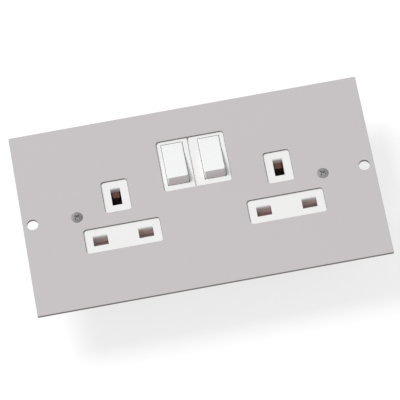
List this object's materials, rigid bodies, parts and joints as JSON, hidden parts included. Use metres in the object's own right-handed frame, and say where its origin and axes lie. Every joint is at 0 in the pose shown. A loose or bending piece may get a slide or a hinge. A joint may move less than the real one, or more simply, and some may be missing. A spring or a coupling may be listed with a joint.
{
  "type": "floor box socket module",
  "caption": "Twin switched mains socket on a flat steel floor box plate, with rocker switches, shuttered slots, brass contacts and rear terminals.",
  "frame": {"origin": "midway between the two plate screws, on the plate's underside", "axes": "+X along the plate, +Y up the plate from the pin row to the switches, +Z out of the plate's face"},
  "size_m": [0.1725, 0.099, 0.0313],
  "materials": {
    "painted_plate": "fine powder coat",
    "white_moulding": "moulded, satin",
    "cover_moulding": "moulded, matt",
    "shutter_moulding": "moulded, matt",
    "plunger_moulding": "natural nylon",
    "brass_strip": "rolled sheet",
    "turned_brass": "turned",
    "silver": "silver alloy",
    "plated_steel": "zinc plated",
    "spring_steel": "drawn wire"
  },
  "bodies": {
    "module": {"front_plate": "painted_plate", "socket_front": "white_moulding", "rear_cover": "cover_moulding", "screw_bushes": "turned_brass", "plate_screws": "plated_steel", "cover_screws": "plated_steel", "earth_bar": "brass_strip", "neutral_bar": "brass_strip", "live_bar": "brass_strip", "live_contact_left": "brass_strip", "live_contact_right": "brass_strip", "fixed_tips": "silver", "live_terminal": "turned_brass", "neutral_terminal": "turned_brass", "earth_terminal": "turned_brass", "terminal_screws": "plated_steel", "terminal_rivets": "turned_brass", "shutter_spring_left": "spring_steel", "shutter_spring_right": "spring_steel"},
    "rocker_left": {"rocker_left": "white_moulding", "rocker_spring_left": "spring_steel"},
    "plunger_left": {"plunger_left": "plunger_moulding"},
    "moving_contact_left": {"moving_contact_left": "brass_strip", "moving_tip_left": "silver"},
    "shutter_left": {"shutter_left": "shutter_moulding"},
    "rocker_right": {"rocker_right": "white_moulding", "rocker_spring_right": "spring_steel"},
    "plunger_right": {"plunger_right": "plunger_moulding"},
    "moving_contact_right": {"moving_contact_right": "brass_strip", "moving_tip_right": "silver"},
    "shutter_right": {"shutter_right": "shutter_moulding"}
  },
  "joints": [
    {"name": "rocker_left_turn", "type": "hinge", "parent": "module", "child": "rocker_left", "pos_m": [-0.00893, 0.02003, -0.0037], "axis": [1, 0, 0], "range_deg": [0, 19.6]},
    {"name": "plunger_left_slide", "type": "slide", "parent": "rocker_left", "child": "plunger_left", "axis": [0, 0.1702, 0.9854], "range_m": [0, 0.0008], "stiffness_N_per_m": 300, "springref_m": -0.004, "deforming": ["rocker_spring_left"]},
    {"name": "moving_contact_left_turn", "type": "hinge", "parent": "module", "child": "moving_contact_left", "pos_m": [-0.00893, 0.02003, -0.01388], "axis": [1, 0, 0], "range_deg": [-20, 0]},
    {"name": "shutter_left_slide", "type": "slide", "parent": "module", "child": "shutter_left", "axis": [0, 1, 0], "range_m": [0, 0.006], "stiffness_N_per_m": 150, "springref_m": -0.004, "deforming": ["shutter_spring_left"]},
    {"name": "rocker_right_turn", "type": "hinge", "parent": "module", "child": "rocker_right", "pos_m": [0.00917, 0.02003, -0.0037], "axis": [1, 0, 0], "range_deg": [0, 19.6]},
    {"name": "plunger_right_slide", "type": "slide", "parent": "rocker_right", "child": "plunger_right", "axis": [0, 0.1702, 0.9854], "range_m": [0, 0.0008], "stiffness_N_per_m": 300, "springref_m": -0.004, "deforming": ["rocker_spring_right"]},
    {"name": "moving_contact_right_turn", "type": "hinge", "parent": "module", "child": "moving_contact_right", "pos_m": [0.00917, 0.02003, -0.01388], "axis": [1, 0, 0], "range_deg": [-20, 0]},
    {"name": "shutter_right_slide", "type": "slide", "parent": "module", "child": "shutter_right", "axis": [0, 1, 0], "range_m": [0, 0.006], "stiffness_N_per_m": 150, "springref_m": -0.004, "deforming": ["shutter_spring_right"]}
  ],
  "couplings": [
    {"joint": "moving_contact_left_turn", "follows": "rocker_left_turn", "ratio": -1.0204},
    {"joint": "moving_contact_right_turn", "follows": "rocker_right_turn", "ratio": -1.0204}
  ]
}
